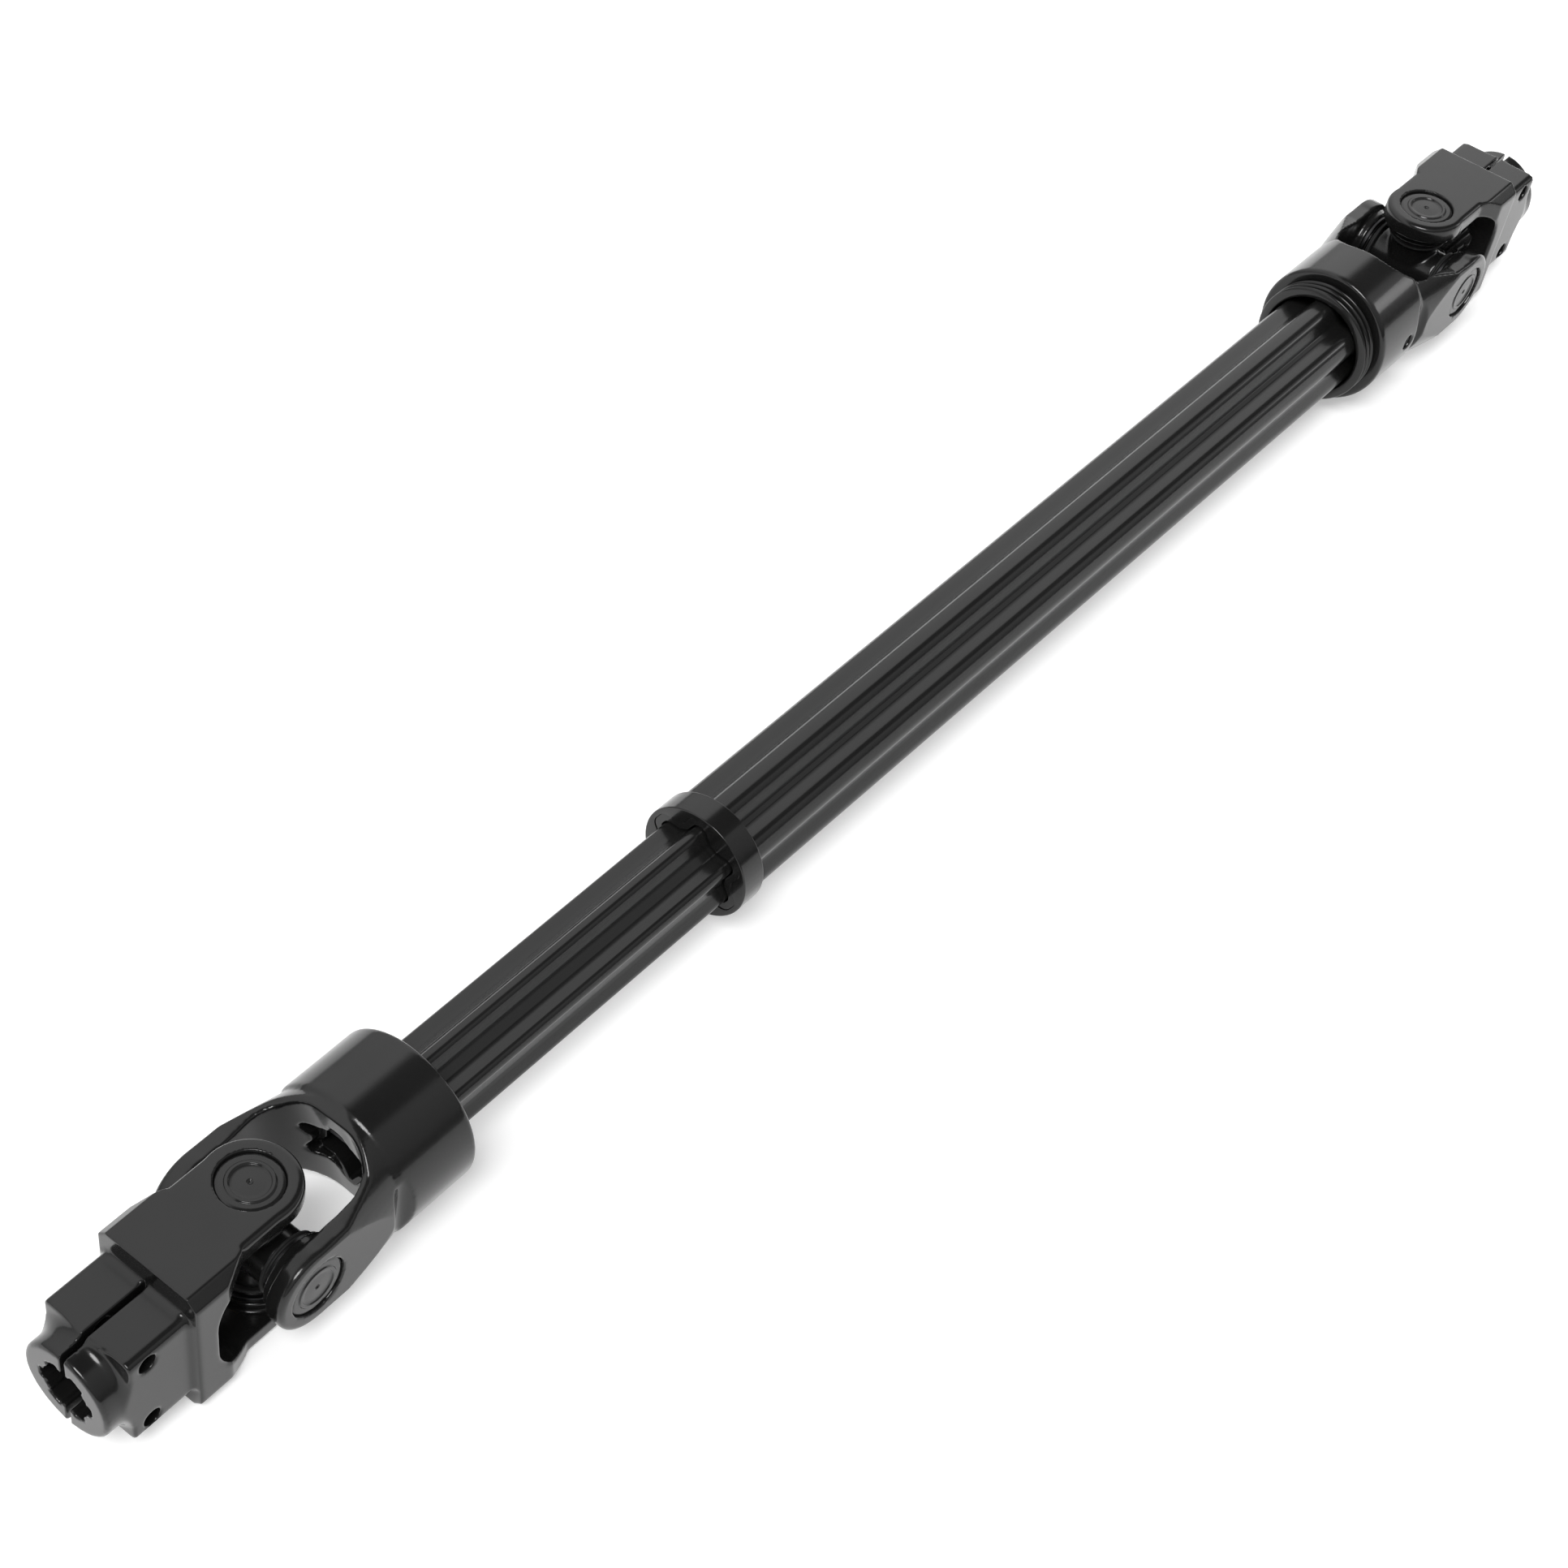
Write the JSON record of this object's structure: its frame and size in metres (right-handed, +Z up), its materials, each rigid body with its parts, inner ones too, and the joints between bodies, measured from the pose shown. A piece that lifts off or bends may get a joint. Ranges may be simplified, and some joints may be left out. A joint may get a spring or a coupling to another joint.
{
  "type": "telescopic universal joint shaft",
  "caption": "Telescopic drive shaft with a lobed sliding tube, a cross joint at each end and splined clamp yokes.",
  "frame": {"origin": "centre of the front clamp yoke's bore mouth", "axes": "+X along the shaft from the front clamp yoke to the rear one, +Z up, along the trunnions held by the clamp yokes"},
  "size_m": [1.343, 0.091, 0.091],
  "materials": {
    "black_casting": "gloss black coating",
    "black_tube": "gloss black coating",
    "black_ring": "gloss black coating",
    "black_cup": "gloss black coating",
    "needle_steel": "ground",
    "cross_steel": "black oxide",
    "dark_steel": "black oxide",
    "seal_rubber": "matt",
    "nipple_brass": "turned"
  },
  "bodies": {
    "outer_shaft": {"outer_tube": "black_tube", "tube_collar": "black_ring", "lock_ring": "black_ring", "rear_shaft_yoke": "black_casting", "rear_tube_pin": "dark_steel", "rear_cup_left": "black_cup", "rear_cup_right": "black_cup", "rear_snap_left": "dark_steel", "rear_snap_right": "dark_steel"},
    "inner_shaft": {"inner_tube": "black_tube", "front_shaft_yoke": "black_casting", "front_tube_pin": "dark_steel", "front_cup_left": "black_cup", "front_cup_right": "black_cup", "front_snap_left": "dark_steel", "front_snap_right": "dark_steel"},
    "front_cross": {"front_cross": "cross_steel", "front_grease_nipple": "nipple_brass", "front_seal_left": "seal_rubber", "front_seal_right": "seal_rubber", "front_seal_top": "seal_rubber", "front_seal_bottom": "seal_rubber"},
    "front_clamp": {"front_clamp_yoke": "black_casting", "front_cup_top": "black_cup", "front_cup_bottom": "black_cup", "front_snap_top": "dark_steel", "front_snap_bottom": "dark_steel"},
    "front_side_needles": {"front_needles_left": "needle_steel", "front_needles_right": "needle_steel"},
    "front_upright_needles": {"front_needles_top": "needle_steel", "front_needles_bottom": "needle_steel"},
    "rear_cross": {"rear_cross": "cross_steel", "rear_grease_nipple": "nipple_brass", "rear_seal_left": "seal_rubber", "rear_seal_right": "seal_rubber", "rear_seal_top": "seal_rubber", "rear_seal_bottom": "seal_rubber"},
    "rear_clamp": {"rear_clamp_yoke": "black_casting", "rear_cup_top": "black_cup", "rear_cup_bottom": "black_cup", "rear_snap_top": "dark_steel", "rear_snap_bottom": "dark_steel"},
    "rear_side_needles": {"rear_needles_left": "needle_steel", "rear_needles_right": "needle_steel"},
    "rear_upright_needles": {"rear_needles_top": "needle_steel", "rear_needles_bottom": "needle_steel"}
  },
  "joints": [
    {"name": "telescope", "type": "slide", "parent": "outer_shaft", "child": "inner_shaft", "axis": [1, 0, 0], "range_m": [-0.2, 0.215]},
    {"name": "front_fork_swing", "type": "hinge", "parent": "inner_shaft", "child": "front_cross", "pos_m": [0.1215, 0, 0], "axis": [0, 1, 0], "range_deg": [-35, 35]},
    {"name": "front_yoke_swing", "type": "hinge", "parent": "front_cross", "child": "front_clamp", "pos_m": [0.1215, 0, 0], "axis": [0, 0, 1], "range_deg": [-35, 35]},
    {"name": "front_side_needle_orbit", "type": "hinge", "parent": "inner_shaft", "child": "front_side_needles", "pos_m": [0.1215, 0, 0], "axis": [0, 1, 0], "range_deg": [-15.49, 15.49]},
    {"name": "front_upright_needle_orbit", "type": "hinge", "parent": "front_cross", "child": "front_upright_needles", "pos_m": [0.1215, 0, 0], "axis": [0, 0, 1], "range_deg": [-19.51, 19.51]},
    {"name": "rear_fork_swing", "type": "hinge", "parent": "outer_shaft", "child": "rear_cross", "pos_m": [1.2215, 0, 0], "axis": [0, 1, 0], "range_deg": [-35, 35]},
    {"name": "rear_yoke_swing", "type": "hinge", "parent": "rear_cross", "child": "rear_clamp", "pos_m": [1.2215, 0, 0], "axis": [0, 0, 1], "range_deg": [-35, 35]},
    {"name": "rear_side_needle_orbit", "type": "hinge", "parent": "outer_shaft", "child": "rear_side_needles", "pos_m": [1.2215, 0, 0], "axis": [0, 1, 0], "range_deg": [-15.49, 15.49]},
    {"name": "rear_upright_needle_orbit", "type": "hinge", "parent": "rear_cross", "child": "rear_upright_needles", "pos_m": [1.2215, 0, 0], "axis": [0, 0, 1], "range_deg": [-19.51, 19.51]}
  ],
  "couplings": [
    {"joint": "front_side_needle_orbit", "follows": "front_fork_swing", "ratio": 0.4425},
    {"joint": "front_upright_needle_orbit", "follows": "front_yoke_swing", "ratio": 0.5575},
    {"joint": "rear_side_needle_orbit", "follows": "rear_fork_swing", "ratio": 0.4425},
    {"joint": "rear_upright_needle_orbit", "follows": "rear_yoke_swing", "ratio": 0.5575}
  ]
}
